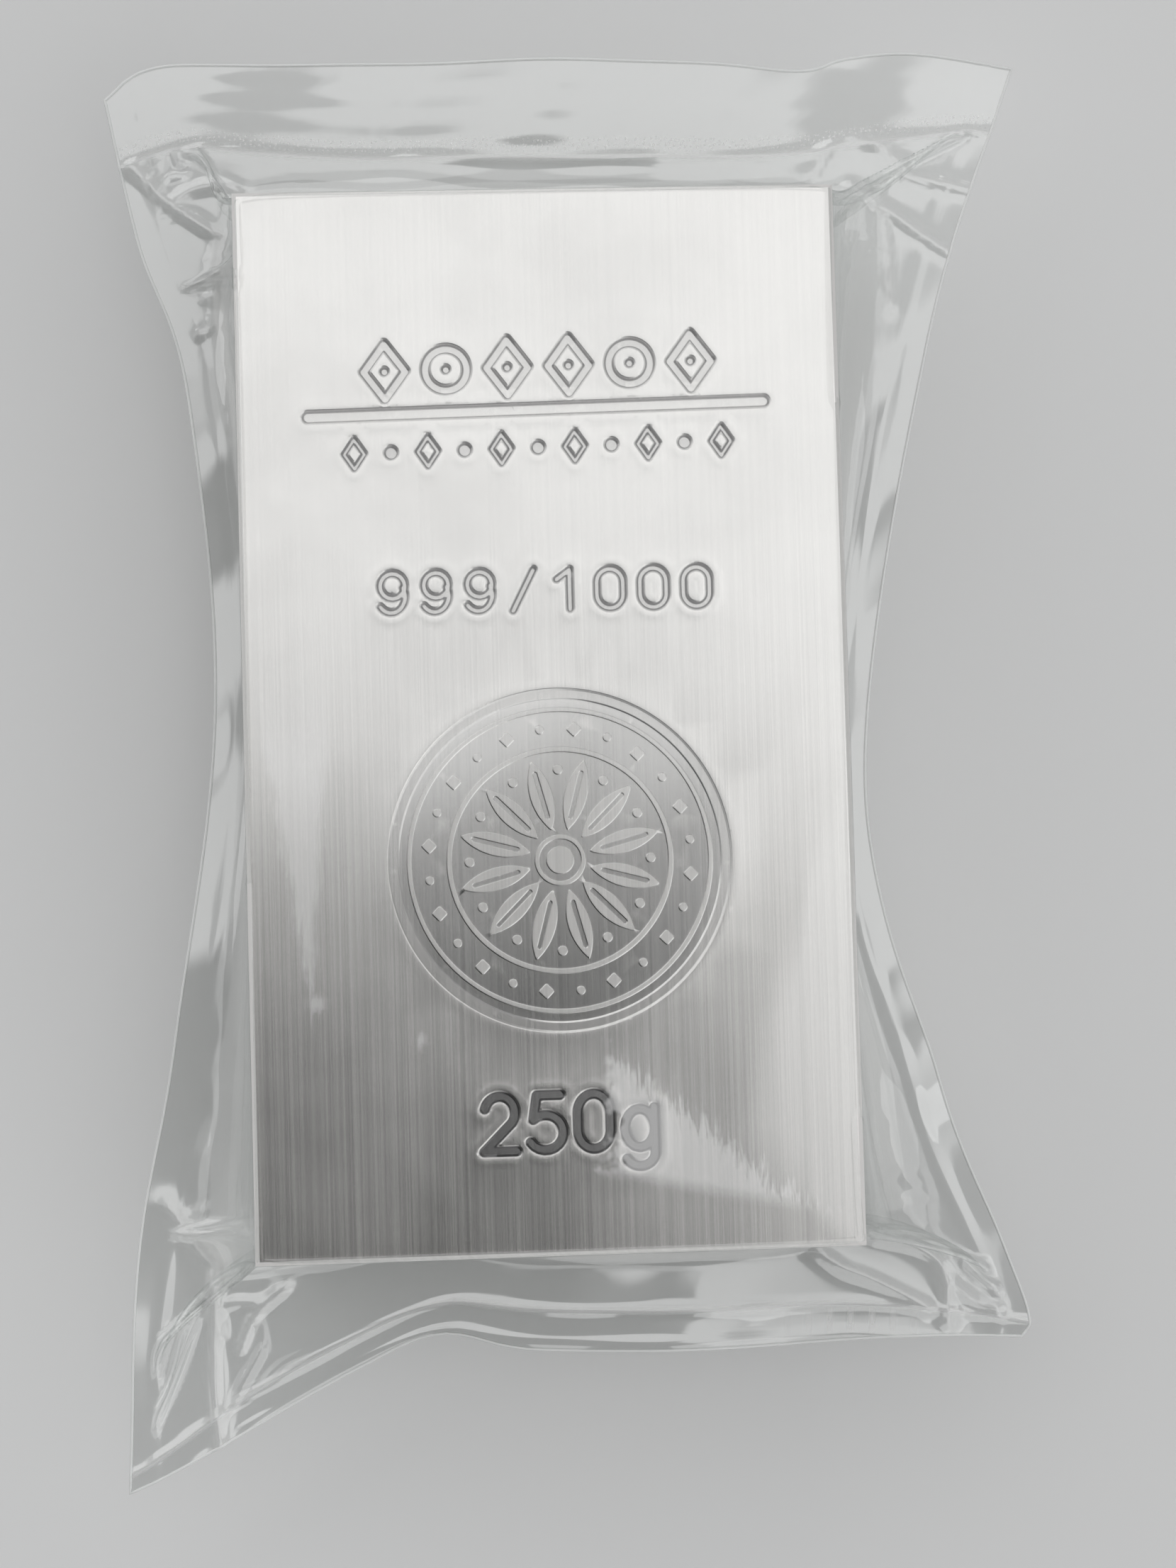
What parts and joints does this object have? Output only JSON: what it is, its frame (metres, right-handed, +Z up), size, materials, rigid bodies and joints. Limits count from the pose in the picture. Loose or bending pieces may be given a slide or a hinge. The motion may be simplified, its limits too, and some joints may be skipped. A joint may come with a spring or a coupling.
{
  "type": "aluminium ingot",
  "caption": "Flat rectangular ingot of brushed aluminium with a stamped face, sealed in a clear welded film pouch.",
  "frame": {"origin": "under the middle of the ingot's plan, on the underside of the pouch", "axes": "+Y along the ingot towards the head of its stamped face, +X to the right of that face, +Z up out of it"},
  "size_m": [0.0814, 0.1254, 0.0205],
  "materials": {
    "aluminium": "brushed lengthwise",
    "film": "clear glossy film"
  },
  "bodies": {
    "root": {"ingot": "aluminium", "front_film": "film", "back_film": "film"}
  },
  "joints": []
}
